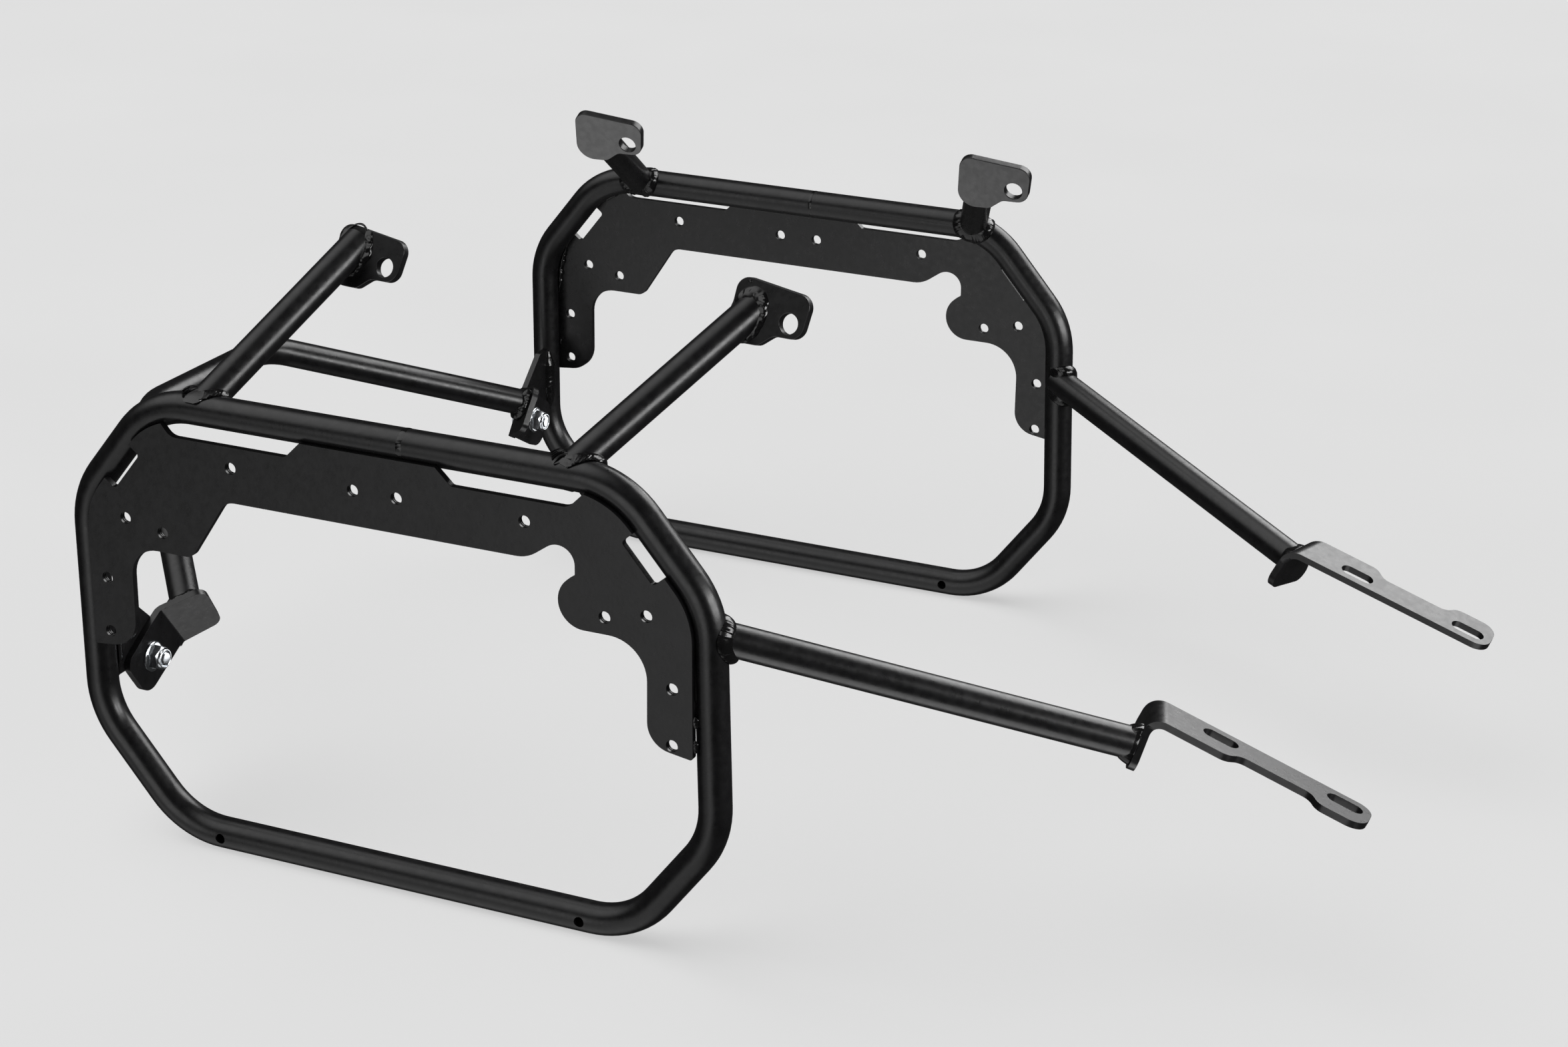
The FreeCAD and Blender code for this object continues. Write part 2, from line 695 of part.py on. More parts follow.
def make_fasteners():
    """Bolt from behind the gusset, washer under its head, flange nut in front of the end plate."""
    stack = dim("end_plate_thickness") + dim("gusset_thickness")
    washer = new_body("washer", joint_place(stack + dim("washer_thickness")))
    ring = new_sketch(washer, "washer_ring")
    draw_circle(ring, 0, 0, "dims.washer_diameter")
    draw_circle(ring, 0, 0, "dims.bolt_hole_diameter")
    pad(washer, ring, "dims.washer_thickness")
    bolt = new_body("gusset_bolt", joint_place(stack + dim("washer_thickness")))
    head = new_sketch(bolt, "bolt_head")
    draw_outline(head, hexagon(dim("hex_across_flats")))
    pad(bolt, head, "dims.bolt_head_height", backwards=True)
    shank = new_sketch(bolt, "bolt_shank")
    draw_circle(shank, 0, 0, "dims.bolt_diameter")
    pad(bolt, shank, "dims.bolt_length")
    nut = new_body("flange_nut", joint_place())
    flange = new_sketch(nut, "nut_flange")
    draw_circle(flange, 0, 0, "dims.flange_diameter")
    draw_circle(flange, 0, 0, "dims.nut_bore_diameter")
    pad(nut, flange, "dims.nut_flange_height")
    hex_foot = dim("nut_flange_height")
    hex_part = new_sketch(nut, "nut_hex", offset=Placement(Vector(0, 0, hex_foot), Rotation()))
    draw_outline(hex_part, hexagon(dim("hex_across_flats")))
    draw_circle(hex_part, 0, 0, "dims.nut_bore_diameter")
    pad(nut, hex_part, "dims.nut_hex_height")
    collar_foot = hex_foot + dim("nut_hex_height")
    collar = new_sketch(nut, "nut_collar", offset=Placement(Vector(0, 0, collar_foot), Rotation()))
    draw_circle(collar, 0, 0, "dims.hex_across_flats - 0.6")
    draw_circle(collar, 0, 0, "dims.nut_bore_diameter")
    pad(nut, collar, "dims.nut_collar_height")
    return {"gusset_bolt": bolt, "washer": washer, "flange_nut": nut}


def mirror(name, source):
    """The same piece on the other side of the motorbike."""
    twin = add("Part::Mirroring", name)
    twin.Source = source
    twin.Normal = Y_AXIS
    document.recompute()
    return twin


# The motorbike's own frame points differ from side to side, so the lugs, the front stays, the forward
# stays and the brackets each have a place of their own on the left and on the right.
REAR_HOLES = {"left": (-66.4, 153.8, 86.5), "right": (-64.9, 153.8, 82.9)}
CROWN = dim("crown_height")
REAR_STAY = ((-115.0, HALF_SPACING, CROWN), (-89.8, 160.0, 84.5))
FRONT_HOLES = {"left": (191.8, 166.5, 84.2), "right": (187.2, 166.5, 89.1)}
FRONT_STAYS = {
    "left": ((127.9, HALF_SPACING, CROWN), (170.0, 166.1, 88.1)),
    "right": ((108.9, HALF_SPACING, CROWN), (160.7, 166.1, 88.1)),
}
BRACKET_ORIGINS = {"left": (420.9, 133.3, -114.1), "right": (415.7, 133.3, -111.6)}
FORWARD_STAYS = {
    "left": ((192.0, HALF_SPACING - 2, -70.0), (384.4, 149.9, -119.7)),
    "right": ((191.2, HALF_SPACING - 2, -49.0), (384.4, 149.9, -119.7)),
}


def make_side_pieces(side, envelope):
    """The pieces that differ from side to side, all built on the left."""
    rear = lug_place("rear", REAR_HOLES[side])
    front = lug_place("front", FRONT_HOLES[side])
    flange = flange_face(side)
    front_stay = FRONT_STAYS[side]
    forward_stay = FORWARD_STAYS[side]
    return {
        "rear_lug": make_lug(side + "_rear_lug_master", rear),
        "rear_stay": make_stay(side + "_rear_stay_master", *REAR_STAY, envelope, rear),
        "front_lug": make_lug(side + "_front_lug_master", front),
        "front_stay": make_stay(side + "_front_stay_master", *front_stay, envelope, front),
        "forward_bracket": make_forward_bracket(side + "_bracket_master", side),
        "forward_stay": make_stay(side + "_forward_stay_master", *forward_stay, envelope, flange),
    }


envelope = make_hoop_envelope()
masters = {
    "hoop": make_hoop(),
    "mounting_plate": make_mounting_plate(envelope),
    "rear_gusset": make_gusset(envelope),
    "cross_end_plate": make_end_plate(),
}
masters.update(make_fasteners())
left_masters = {**masters, **make_side_pieces("left", envelope)}
right_masters = {**masters, **make_side_pieces("right", envelope)}

subparts = {"cross_tube": make_cross_tube()}
for name, master in left_masters.items():
    subparts["left_" + name] = master
for name, master in right_masters.items():
    subparts["right_" + name] = mirror("right_" + name, master)
for label, item in subparts.items():
    item.Label = label
document.recompute()

problems = [o.Label for o in document.Objects if {"Invalid", "Error"} & set(o.State)]
for label, item in subparts.items():
    shape = item.Shape
    if shape.isNull() or not shape.isValid() or len(shape.Solids) != 1:
        problems.append(label)
if problems:
    raise RuntimeError("these objects failed: " + ", ".join(problems))

os.makedirs("parts", exist_ok=True)
for label, item in subparts.items():
    item.Shape.exportStep(f"parts/{label}.step")
    print(label, round(item.Shape.Volume), len(item.Shape.Faces))
whole = Part.makeCompound([item.Shape for item in subparts.values()])
box = whole.optimalBoundingBox()
print("box", [round(v, 2) for v in (box.XMin, box.YMin, box.ZMin, box.XMax, box.YMax, box.ZMax)])
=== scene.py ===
import math

import bmesh
import bpy
from mathutils import Matrix, Vector, noise
from mathutils.bvhtree import BVHTree


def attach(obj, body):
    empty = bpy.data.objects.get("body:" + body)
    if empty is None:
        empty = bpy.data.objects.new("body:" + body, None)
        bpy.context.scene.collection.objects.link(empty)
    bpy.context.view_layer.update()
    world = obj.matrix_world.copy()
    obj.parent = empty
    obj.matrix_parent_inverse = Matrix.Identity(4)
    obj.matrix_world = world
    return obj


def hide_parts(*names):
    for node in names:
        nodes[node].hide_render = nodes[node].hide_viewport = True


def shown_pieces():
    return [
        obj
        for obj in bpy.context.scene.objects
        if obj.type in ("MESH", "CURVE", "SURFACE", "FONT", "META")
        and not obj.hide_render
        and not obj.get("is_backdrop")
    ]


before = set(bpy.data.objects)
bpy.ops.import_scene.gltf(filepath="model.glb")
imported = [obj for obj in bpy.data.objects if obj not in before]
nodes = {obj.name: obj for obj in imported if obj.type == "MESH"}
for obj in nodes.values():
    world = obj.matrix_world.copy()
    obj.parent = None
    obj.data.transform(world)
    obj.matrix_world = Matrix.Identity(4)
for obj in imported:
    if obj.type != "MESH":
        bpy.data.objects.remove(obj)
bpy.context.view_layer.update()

# Places in the frame, in millimetres from the plate datum as the solids have them, on the left side
MM = 0.001
DATUM_FORWARD = -106.2
DATUM_HEIGHT = 235.5
TUBE_RADIUS = 9.0
HALF_SPACING = 267.6
SIDES = {"left": 1, "right": -1}
CROWN = 26.7
REAR_STAY = ((-115.0, HALF_SPACING, CROWN), (-89.8, 160.0, 84.5))
FRONT_STAYS = {
    "left": ((127.9, HALF_SPACING, CROWN), (170.0, 166.1, 88.1)),
    "right": ((108.9, HALF_SPACING, CROWN), (160.7, 166.1, 88.1)),
}
FORWARD_STAYS = {
    "left": ((192.0, HALF_SPACING - 2, -70.0), (384.4, 149.9, -119.7)),
    "right": ((191.2, HALF_SPACING - 2, -49.0), (384.4, 149.9, -119.7)),
}
CROSS_FOOT = (-180.0, 198.5, -120.3)
CROSS_BEND = (-292.5, 67.2, -60.8)
JOINT_FACE = -180.8
BOLT_OUTBOARD = 231.5
BOLT_HEIGHT = -145.0
JOINT_STACK = 8.0
WASHER_THICKNESS = 1.6
WASHER_RADIUS = 8.0
BOLT_HEAD_HEIGHT = 5.3
SHANK_RADIUS = 3.95
NUT_FLANGE_RADIUS = 8.95
NUT_FLANGE_HEIGHT = 1.6
NUT_BORE_RADIUS = 4.0
NUT_HEX_TOP = 6.8
HEX_FLATS = 13.0
PLATE_OUTER = 10.5
PLATE_INNER = 6.5
PLATE_HOLES = [(13.3, 0.0), (89.4, 0.0), (135.5, -45.0), (159.5, -40.1), (174.2, -78.0), (174.2, -110.0)]


def at(side, forward, outboard, up):
    """A point in the row frame, in metres, from its place relative to the plate datum."""
    return Vector((forward + DATUM_FORWARD, SIDES[side] * outboard, up + DATUM_HEIGHT)) * MM


# Materials

class Nodes:
    """A material's node tree, built call by call."""

    def __init__(self, name):
        self.material = bpy.data.materials.new(name)
        self.material.use_nodes = True
        self.tree = self.material.node_tree
        self.shader = self.tree.nodes["Principled BSDF"]
        coordinates = self.tree.nodes.new("ShaderNodeTexCoord")
        self.place = coordinates.outputs["Object"]

    def link(self, output, target):
        self.tree.links.new(output, target)

    def noise(self, scale, detail=3.0, roughness=0.5):
        node = self.tree.nodes.new("ShaderNodeTexNoise")
        node.inputs["Scale"].default_value = scale
        node.inputs["Detail"].default_value = detail
        node.inputs["Roughness"].default_value = roughness
        self.link(self.place, node.inputs["Vector"])
        return node.outputs["Fac"]

    def span(self, value, low, high, start=0.0, end=1.0):
        node = self.tree.nodes.new("ShaderNodeMapRange")
        node.interpolation_type = "SMOOTHSTEP"
        for socket, number in zip(("From Min", "From Max", "To Min", "To Max"), (start, end, low, high)):
            node.inputs[socket].default_value = number
        self.link(value, node.inputs["Value"])
        return node.outputs["Result"]

    def ramp(self, value, low, high, start=0.35, end=0.65):
        node = self.tree.nodes.new("ShaderNodeValToRGB")
        for element, colour, place in zip(node.color_ramp.elements, (low, high), (start, end)):
            element.color = (*colour, 1)
            element.position = place
        self.link(value, node.inputs["Fac"])
        return node.outputs["Color"]

    def bump(self, value, strength, distance, under=None):
        node = self.tree.nodes.new("ShaderNodeBump")
        node.inputs["Strength"].default_value = strength
        node.inputs["Distance"].default_value = distance
        self.link(value, node.inputs["Height"])
        if under is not None:
            self.link(under, node.inputs["Normal"])
        return node.outputs["Normal"]


def powder_coat(name, dark, light, smooth, rough, peel, grain):
    """Satin black powder coat: a faint mottle, the peel of the flowed resin and a fine grain."""
    n = Nodes(name)
    mottle = n.noise(95, 4.0, 0.55)
    n.link(n.ramp(mottle, dark, light), n.shader.inputs["Base Color"])
    n.link(n.span(n.noise(240, 3.0), smooth, rough, 0.3, 0.7), n.shader.inputs["Roughness"])
    flowed = n.bump(n.noise(420, 2.0, 0.4), peel, 0.0004)
    n.link(n.bump(n.noise(2300, 2.0, 0.6), grain, 0.0001, flowed), n.shader.inputs["Normal"])
    n.shader.inputs["IOR"].default_value = 1.5
    n.shader.inputs["Specular IOR Level"].default_value = 0.47
    return n.material


COAT = powder_coat("satin_powder_coat", (0.0035, 0.0034, 0.0037), (0.0062, 0.0060, 0.0065),
                   0.27, 0.35, 0.10, 0.14)
WELD = powder_coat("coated_weld", (0.0030, 0.0029, 0.0030), (0.0050, 0.0048, 0.0050), 0.12, 0.22, 0.22, 0.10)


def zinc_plate():
    """Bright zinc: cool silver with a slight haze and a faintly uneven skin."""
    n = Nodes("bright_zinc")
    haze = n.noise(600, 4.0, 0.6)
    n.link(n.ramp(haze, (0.60, 0.63, 0.67), (0.80, 0.82, 0.84)), n.shader.inputs["Base Color"])
    n.link(n.span(n.noise(900, 2.0), 0.17, 0.25, 0.3, 0.7), n.shader.inputs["Roughness"])
    n.link(n.bump(n.noise(700, 2.0), 0.04, 0.00005), n.shader.inputs["Normal"])
    n.shader.inputs["Metallic"].default_value = 1.0
    return n.material


ZINC = zinc_plate()


def floor_paper():
    n = Nodes("pale_floor")
    tone = n.ramp(n.noise(3.0, 2.0), (0.548, 0.548, 0.548), (0.556, 0.556, 0.556))
    n.link(tone, n.shader.inputs["Base Color"])
    n.shader.inputs["Roughness"].default_value = 0.9
    n.shader.inputs["Specular IOR Level"].default_value = 0.0
    return n.material


# Building pieces

def finish_piece(obj):
    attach(obj, "root")
    return obj


def piece_from(name, mesh, material, smooth_below):
    """A new object from a bmesh, its edges smooth below an angle in degrees."""
    data = bpy.data.meshes.new(name)
    mesh.to_mesh(data)
    mesh.free()
    if "custom_normal" in data.attributes:
        data.attributes.remove(data.attributes["custom_normal"])
    data.materials.clear()
    data.materials.append(material)
    data.shade_smooth()
    data.set_sharp_from_angle(angle=math.radians(smooth_below))
    obj = bpy.data.objects.new(name, data)
    bpy.context.scene.collection.objects.link(obj)
    return finish_piece(obj)


MERGED_WITHIN = 2e-6
FLAT_WITHIN = math.radians(0.5)
SHARP_ABOVE = math.radians(40)


def edge_rounded(node, radius):
    """A sheet-metal node with its cut edges rolled over, as the coat leaves them."""
    mesh = bmesh.new()
    mesh.from_mesh(nodes[node].data)
    bmesh.ops.remove_doubles(mesh, verts=mesh.verts, dist=MERGED_WITHIN)
    bmesh.ops.dissolve_limit(mesh, angle_limit=FLAT_WITHIN, verts=mesh.verts, edges=mesh.edges)
    sharp = [e for e in mesh.edges if e.is_manifold and e.calc_face_angle() > SHARP_ABOVE]
    bmesh.ops.bevel(mesh, geom=sharp, offset=radius * MM, segments=2, profile=0.5, affect="EDGES",
                    clamp_overlap=True)
    obj = piece_from(node + "_edged", mesh, COAT, 60.0)
    weighted = obj.modifiers.new("weighted_normals", "WEIGHTED_NORMAL")
    weighted.keep_sharp = True
    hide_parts(node)


# Weld beads

CROWN_POINTS = 9
# How far a bead's root and toes sit in the metal, in millimetres
ROOT_SINK = 0.9
TOE_SINK = 0.18
# Noise per metre: the bead's swelling along its run, and the lumps on it
SWELLING = 210
LUMPINESS = 420


def weld_bead(name, path, closed, legs, crown, ripple=2.0, depth=0.22, lumps=0.25, seed=0.0):
    """A rippled fillet along a path of (corner, way up one face, way out on the other, share).

    legs are its widths on the two faces and crown its height over the line between its toes.
    The share is how much of the outward leg has metal under it.
    """
    count = len(path)
    mesh = bmesh.new()
    rings = []
    travelled = 0.0
    for i, (corner, up, out, share) in enumerate(path):
        travelled += (corner - path[i - 1][0]).length if i else 0.0
        bulge = (up + out).normalized()
        end = 1.0 if closed else min(1.0, 0.30 + 3.0 * min(i, count - 1 - i) / count)
        swell = end * (1 + 0.5 * lumps * noise.noise(corner * SWELLING + Vector((seed, 0, 0))))
        toes = [corner + up * legs[0] * MM * swell * (0.4 + 0.6 * share),
                corner + out * legs[1] * MM * swell * share]
        ring = [mesh.verts.new(corner - bulge * ROOT_SINK * MM)]
        for k in range(CROWN_POINTS):
            t = k / (CROWN_POINTS - 1)
            arch = 4 * t * (1 - t)
            crest = travelled / (ripple * MM) + 0.45 * arch
            height = crown * (1 - depth + depth * abs(math.sin(math.pi * crest)))
            flat = toes[0].lerp(toes[1], t)
            height += lumps * crown * noise.noise(flat * LUMPINESS + Vector((0, seed, 0)))
            sunk = TOE_SINK if k in (0, CROWN_POINTS - 1) else 0.0
            rise = height * arch * end * (0.2 + 0.8 * share)
            ring.append(mesh.verts.new(flat + bulge * (rise - sunk) * MM))
        rings.append(ring)
    size = CROWN_POINTS + 1
    for i in range(count if closed else count - 1):
        here, there = rings[i], rings[(i + 1) % count]
        for k in range(size):
            j = (k + 1) % size
            mesh.faces.new((here[k], here[j], there[j], there[k]))
    if not closed:
        mesh.faces.new(reversed(rings[0]))
        mesh.faces.new(rings[-1])
    bmesh.ops.recalc_face_normals(mesh, faces=mesh.faces)
    return piece_from(name, mesh, WELD, 80.0)


def node_tree(node):
    return BVHTree.FromPolygons(
        [v.co.copy() for v in nodes[node].data.vertices],
        [list(p.vertices) for p in nodes[node].data.polygons])


def around(axis):
    """Two directions square to the axis and to each other."""
    first = axis.orthogonal().normalized()
    return first, axis.cross(first).normalized()


RING_STEPS = 150


def skin_lines(start, axis):
    """The lines of a tube's skin, as (start, direction away from the tube's axis)."""
    first, second = around(axis)
    for i in range(RING_STEPS):
        turn = 2 * math.pi * i / RING_STEPS
        skin = math.cos(turn) * first + math.sin(turn) * second
        yield start + skin * TUBE_RADIUS * MM, skin


def ring_path(root, tip, meets, share_at=None):
    """The corner all round a tube that runs from root to tip; meets finds a skin line's end."""
    axis = (tip - root).normalized()
    path = []
    for start, skin in skin_lines(root.lerp(tip, 0.5), axis):
        corner, normal = meets(start, axis)
        if corner is not None:
            out = (skin - normal * skin.dot(normal)).normalized()
            path.append((corner, -axis, out, share_at(corner, out, normal) if share_at else 1.0))
    return path


def round_surface(tree):
    """Where a skin line meets a curved surface, found by a ray."""
    def meets(start, axis):
        hit, normal, index, distance = tree.ray_cast(start, axis)
        return hit, normal
    return meets


def flat_face(tree, root, tip):
    """Where a skin line meets the plane of the plate that the tube's axis runs into."""
    axis = (tip - root).normalized()
    face, normal, index, distance = tree.ray_cast(root.lerp(tip, 0.5), axis)

    def meets(start, direction):
        return start + direction * ((face - start).dot(normal) / direction.dot(normal)), normal
    return meets


def root_weld(name, root, tip, tree, legs, crown, **how):
    """A ring round the foot of a tube that stands on another tube."""
    return weld_bead(name, ring_path(tip, root, round_surface(tree)), True, legs, crown, **how)


def plate_share(tree, leg):
    """Finds how much of a leg still has the plate under it."""
    def share_at(corner, out, normal):
        for eighths in range(8, 0, -1):
            over = corner + (out * leg * eighths / 8 + normal * 0.4) * MM
            if tree.ray_cast(over, -normal, 0.8 * MM)[0] is not None:
                return eighths / 8
        return 0.0
    return share_at


def evened(path, window=3):
    """The path with its shares averaged over their neighbours, never above their own."""
    shares = [entry[3] for entry in path]
    count = len(path)
    even = []
    for i, entry in enumerate(path):
        near = [shares[(i + k) % count] for k in range(-window, window + 1)]
        even.append((*entry[:3], min(shares[i], sum(near) / len(near))))
    return even


def plate_weld(name, root, tip, tree, legs, crown, **how):
    """A ring round a tube's end on a plate, narrowed where the plate's edge is near."""
    path = ring_path(root, tip, flat_face(tree, root, tip), plate_share(tree, legs[1] + 0.5))
    return weld_bead(name, evened(path), True, legs, crown, **how)


def straight_weld(name, side, start, end, up, out, legs, crown, **how):
    """A fillet along a straight corner; points and directions are forward, outboard, up."""
    first, last = at(side, *start), at(side, *end)
    ways = [Vector((way[0], SIDES[side] * way[1], way[2])).normalized() for way in (up, out)]
    steps = max(10, int((last - first).length / (0.35 * MM)))
    path = [(first.lerp(last, i / steps), *ways, 1.0) for i in range(steps + 1)]
    return weld_bead(name, path, False, legs, crown, **how)


# Where the plate's inner face and the hoop's skin meet, in from the hoop's centreline
PLATE_CORNER_IN = math.sqrt(TUBE_RADIUS ** 2 - PLATE_INNER ** 2)
SHOULDER_FRONT, KNEE_FRONT = (190.7, -33.5), (195.2, -163.0)
SHOULDER_REAR, KNEE_REAR = (-190.6, -33.5), (-189.7, -163.0)
CROWN_REAR = (-143.1, CROWN)
HOOP_BEND = 50.0


def straight_line(start, end, inward):
    """Points of a straight piece of centreline, each with the way towards the hoop's inside."""
    first, last = Vector(start), Vector(end)
    steps = max(10, int((last - first).length / 0.35))
    return [(first.lerp(last, i / steps), Vector(inward)) for i in range(steps + 1)]


def bent_line(start, corner, end):
    """Points of a centreline that bends at the corner, each with the way towards the inside."""
    first, turn, last = Vector(start), Vector(corner), Vector(end)
    back, on = (first - turn).normalized(), (last - turn).normalized()
    half = back.angle(on) / 2
    centre = turn + (back + on).normalized() * HOOP_BEND / math.sin(half)
    into, out = turn + back * HOOP_BEND / math.tan(half), turn + on * HOOP_BEND / math.tan(half)
    points = straight_line(first, into, (centre - into).normalized())
    sweep = math.pi - 2 * half
    steps = int(sweep * HOOP_BEND / 0.35)
    for i in range(steps + 1):
        share = i / steps
        ray = (into - centre) * math.sin(sweep * (1 - share)) + (out - centre) * math.sin(sweep * share)
        ray = ray.normalized()
        points.append((centre + ray * HOOP_BEND, -ray))
    return points + straight_line(out, last, (centre - out).normalized())


def plate_fillet(name, side, line, seed, legs=(3.0, 3.6), crown=0.7):
    """A stitch in the corner between plate and hoop, along points of the hoop's centreline."""
    lean = PLATE_INNER / TUBE_RADIUS
    path = []
    for point, inward in line:
        corner = point + inward * PLATE_CORNER_IN
        on_plate = Vector((inward.x, 0, inward.y))
        on_hoop = Vector((inward.x * lean, -SIDES[side] * PLATE_CORNER_IN / TUBE_RADIUS, inward.y * lean))
        path.append((at(side, corner.x, HALF_SPACING + PLATE_INNER, corner.y), on_plate, on_hoop, 1.0))
    return weld_bead(name, path, False, legs, crown, lumps=0.6, seed=seed)


def on_leg(top, foot, up):
    """The point of a hoop leg's centreline at one height."""
    share = (up - top[1]) / (foot[1] - top[1])
    return (top[0] + share * (foot[0] - top[0]), up)


# Legs along the tube or wall and along the other face, and the crown over them, in millimetres
STAY_BEAD = {"legs": (4.8, 5.4), "crown": 1.3, "ripple": 4.6, "depth": 0.34, "lumps": 0.2}
FORWARD_BEADS = {
    "left": {"legs": (4.4, 4.6), "crown": 1.4, "depth": 0.0, "lumps": 0.05},
    "right": {"legs": (5.4, 3.8), "crown": 0.9, "depth": 0.0, "lumps": 0.05},
}
LUG_BEAD = {"legs": (4.4, 3.0), "crown": 0.8, "ripple": 4.2, "lumps": 0.9}
FLANGE_BEAD = {"legs": (7.2, 3.0), "crown": 0.3, "depth": 0.0, "lumps": 0.12}
CROSS_TUBE_BEAD = {"legs": (5.4, 3.8), "crown": 1.1, "lumps": 0.7}
GUSSET_BEAD = {"legs": (4.4, 4.6), "crown": 1.3, "ripple": 3.2, "depth": 0.1}
SLIT_BEAD = {"legs": (1.9, 2.3), "crown": 0.8, "lumps": 0.4}
# What sets one side's ripples and lumps apart from the other's
SIDE_SEEDS = {"left": 3.0, "right": 11.0}


def stay_root_welds(side, seed):
    """Beads where the three stays stand on the hoop."""
    hoop = node_tree(side + "_hoop")
    front, rear, forward = [[at(side, *p) for p in ends]
                            for ends in (FRONT_STAYS[side], REAR_STAY, FORWARD_STAYS[side])]
    root_weld(side + "_front_stay_root_weld", *front, hoop, seed=seed, **STAY_BEAD)
    root_weld(side + "_rear_stay_root_weld", *rear, hoop, seed=seed + 1, **STAY_BEAD)
    root_weld(side + "_forward_stay_root_weld", *forward, hoop, seed=seed + 2, **FORWARD_BEADS[side])


def tip_welds(side, seed):
    """Beads where the stays and the cross tube end on their plates."""
    for name, ends, plate, bead, own_seed in (
            ("_front_lug_weld", FRONT_STAYS[side], "_front_lug", LUG_BEAD, seed + 3),
            ("_rear_lug_weld", REAR_STAY, "_rear_lug", LUG_BEAD, seed + 4),
            ("_flange_weld", FORWARD_STAYS[side], "_forward_bracket", FLANGE_BEAD, seed + 5),
            ("_cross_tube_weld", (CROSS_BEND, CROSS_FOOT), "_cross_end_plate", CROSS_TUBE_BEAD, seed + 6)):
        tube = [at(side, *p) for p in ends]
        plate_weld(side + name, *tube, node_tree(side + plate), seed=own_seed, **bead)


GUSSET_FRONT = JOINT_FACE - 4.0
GUSSET_BEAD_TOP, GUSSET_BEAD_FOOT = -103.0, -146.0


def gusset_weld(side, seed):
    """One long smooth bead between the hoop and the gusset's front face."""
    ahead = (GUSSET_FRONT - on_leg(SHOULDER_REAR, KNEE_REAR, -125.0)[0]) / TUBE_RADIUS
    beside = math.sqrt(1 - ahead ** 2)
    corner = HALF_SPACING - beside * TUBE_RADIUS
    straight_weld(side + "_gusset_weld", side, (GUSSET_FRONT, corner, GUSSET_BEAD_TOP),
                  (GUSSET_FRONT, corner, GUSSET_BEAD_FOOT), (0, -1, 0), (beside, ahead, 0),
                  seed=seed + 7, **GUSSET_BEAD)


def plate_stitches(side, seed):
    """Short beads between hoop and plate on the inboard side."""
    rear_leg = [on_leg(SHOULDER_REAR, KNEE_REAR, up) for up in (-96.0, -102.0)]
    front_leg = [on_leg(SHOULDER_FRONT, KNEE_FRONT, up) for up in (-84.0, -94.0)]
    shoulder = [entry for entry in bent_line(CROWN_REAR, SHOULDER_REAR, KNEE_REAR)
                if -64.0 < entry[0].y < -20.0]
    crown = [entry for entry in bent_line((-100.0, CROWN), CROWN_REAR, SHOULDER_REAR)
             if -153.0 < entry[0].x < -137.0]
    plate_fillet(side + "_rear_shoulder_stitch", side, shoulder, seed + 8, (4.2, 4.4), 1.0)
    plate_fillet(side + "_rear_crown_stitch", side, crown, seed + 12)
    plate_fillet(side + "_rear_leg_tack", side, straight_line(*rear_leg, (1, 0)), seed + 9)
    plate_fillet(side + "_front_leg_tack", side, straight_line(*front_leg, (-1, 0)), seed + 10)
    plate_fillet(side + "_top_stitch", side, straight_line((-25.5, CROWN), (16.0, CROWN), (0, -1)), seed + 11)


def slit_tacks(side, seed):
    """Two tacks on the outboard side, in the slit between plate and front leg."""
    for name, top, foot in (("_slit_tack", -91.8, -98.4), ("_slit_foot_tack", -105.2, -112.5)):
        straight_weld(side + name, side, (186.3, 276.2, top), (186.6, 276.2, foot),
                      (-1, 0.5, 0), (0.9, -0.2, 0), seed=seed + 13, **SLIT_BEAD)


for side, seed in SIDE_SEEDS.items():
    stay_root_welds(side, seed)
    tip_welds(side, seed)
    gusset_weld(side, seed)
    plate_stitches(side, seed)
    slit_tacks(side, seed)


def seam_ring(name, side, forward, width, height, lumps, seed):
    """The low ring where the two ends of the hoop's tube are butt-welded."""
    mesh = bmesh.new()
    rows = []
    for i in range(RING_STEPS):
        turn = 2 * math.pi * i / RING_STEPS
        row = []
        for share, rise in ((-0.5, -0.15), (-0.3, 0.6), (0.0, 1.0), (0.3, 0.6), (0.5, -0.15)):
            wander = 0.35 * noise.noise(Vector((math.cos(turn), math.sin(turn), seed)) * 2.5)
            radius = TUBE_RADIUS + height * rise
            radius += lumps * max(0.0, rise) * noise.noise(Vector((math.cos(turn), math.sin(turn), seed)) * 6)
            place = at(side, forward + share * width + wander, HALF_SPACING + radius * math.cos(turn),
                       CROWN + radius * math.sin(turn))
            row.append(mesh.verts.new(place))
        rows.append(row)
    for i in range(RING_STEPS):
        here, there = rows[i], rows[(i + 1) % RING_STEPS]
        for k in range(4):
            mesh.faces.new((here[k], here[k + 1], there[k + 1], there[k]))
        mesh.faces.new((here[4], here[0], there[0], there[4]))
    bmesh.ops.recalc_face_normals(mesh, faces=mesh.faces)
    return piece_from(name, mesh, WELD, 80.0)


seam_ring("left_hoop_seam", "left", 14.5, 2.2, 0.12, 0.10, 1.0)
seam_ring("right_hoop_seam", "right", 14.5, 3.4, 0.12, 0.25, 5.0)


def spatter(name, side, centre, normal, size):
    """A droplet of weld spatter under the coat: a low uneven dome."""
    mesh = bmesh.new()
    bmesh.ops.create_icosphere(mesh, subdivisions=3, radius=size * MM)
    place = at(side, *centre)
    direction = Vector((normal[0], SIDES[side] * normal[1], normal[2])).normalized()
    turn = direction.to_track_quat("Z", "Y")
    for vertex in mesh.verts:
        rough = 1 + 0.18 * noise.noise(vertex.co * 900)
        local = Vector((vertex.co.x * rough, vertex.co.y * rough, 0.55 * vertex.co.z * rough))
        vertex.co = place + turn @ local
    return piece_from(name, mesh, WELD, 80.0)


LUG_LEAN = math.radians(17.0)
LUG_YAW = math.radians(5.0)


